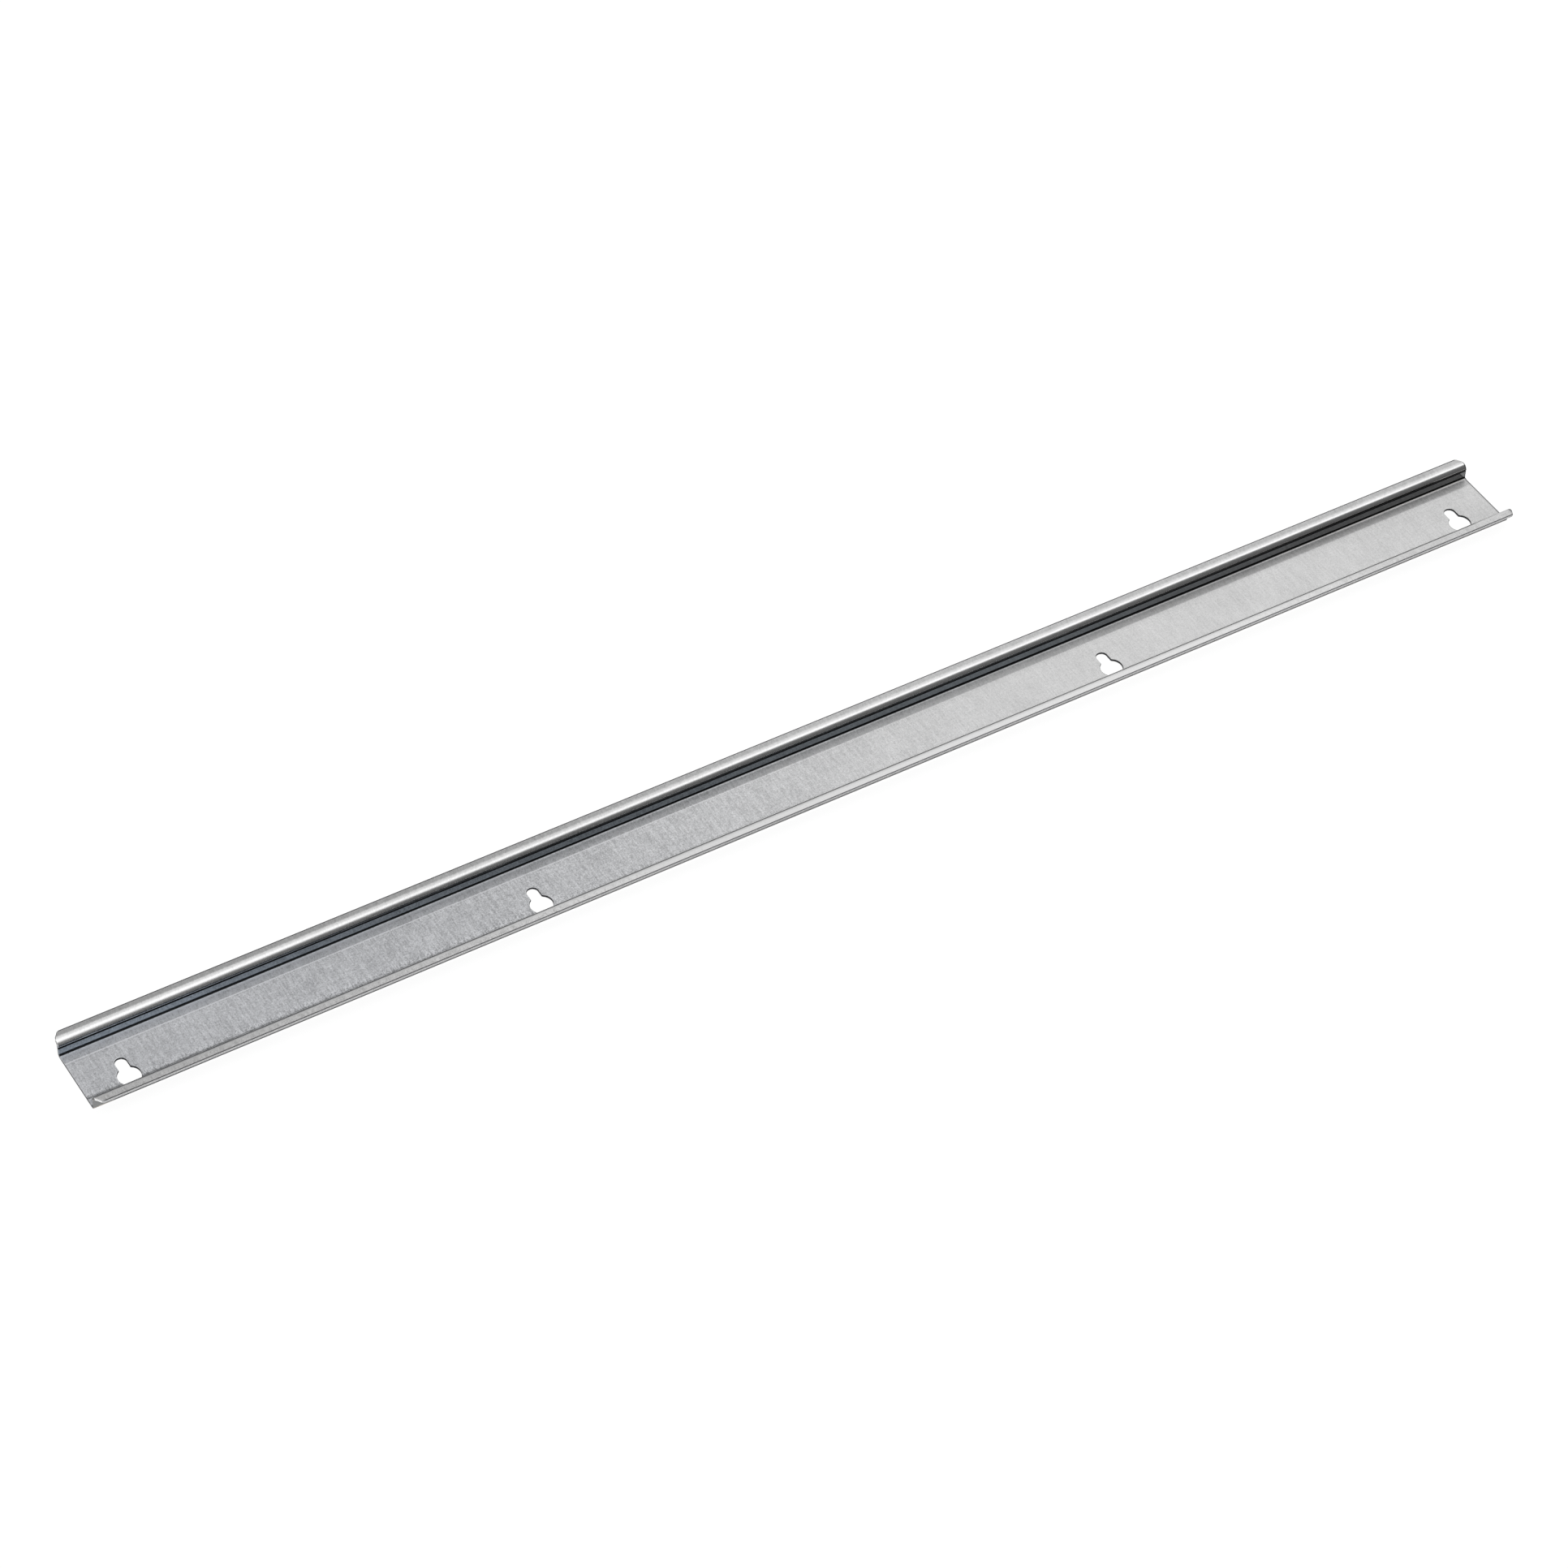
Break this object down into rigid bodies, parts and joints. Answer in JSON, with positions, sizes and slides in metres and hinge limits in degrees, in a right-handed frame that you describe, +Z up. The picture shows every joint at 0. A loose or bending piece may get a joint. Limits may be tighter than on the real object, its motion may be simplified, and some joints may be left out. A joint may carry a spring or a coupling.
{
  "type": "din rail",
  "caption": "Top-hat mounting rail, 35 mm wide and 7.5 mm high, roll-formed from 1 mm zinc-coated steel, with keyholes through its base for screw fixing.",
  "frame": {"origin": "centre of the rail's length and width, on the underside of its base", "axes": "+X along the rail, +Y across it from the keyholes' round lobes towards their slots, +Z up out of the open channel"},
  "size_m": [0.58, 0.035, 0.0075],
  "materials": {
    "zinc_coated_steel": "satin zinc coating with a fine rolled grain"
  },
  "bodies": {
    "root": {"rail": "zinc_coated_steel"}
  },
  "joints": []
}
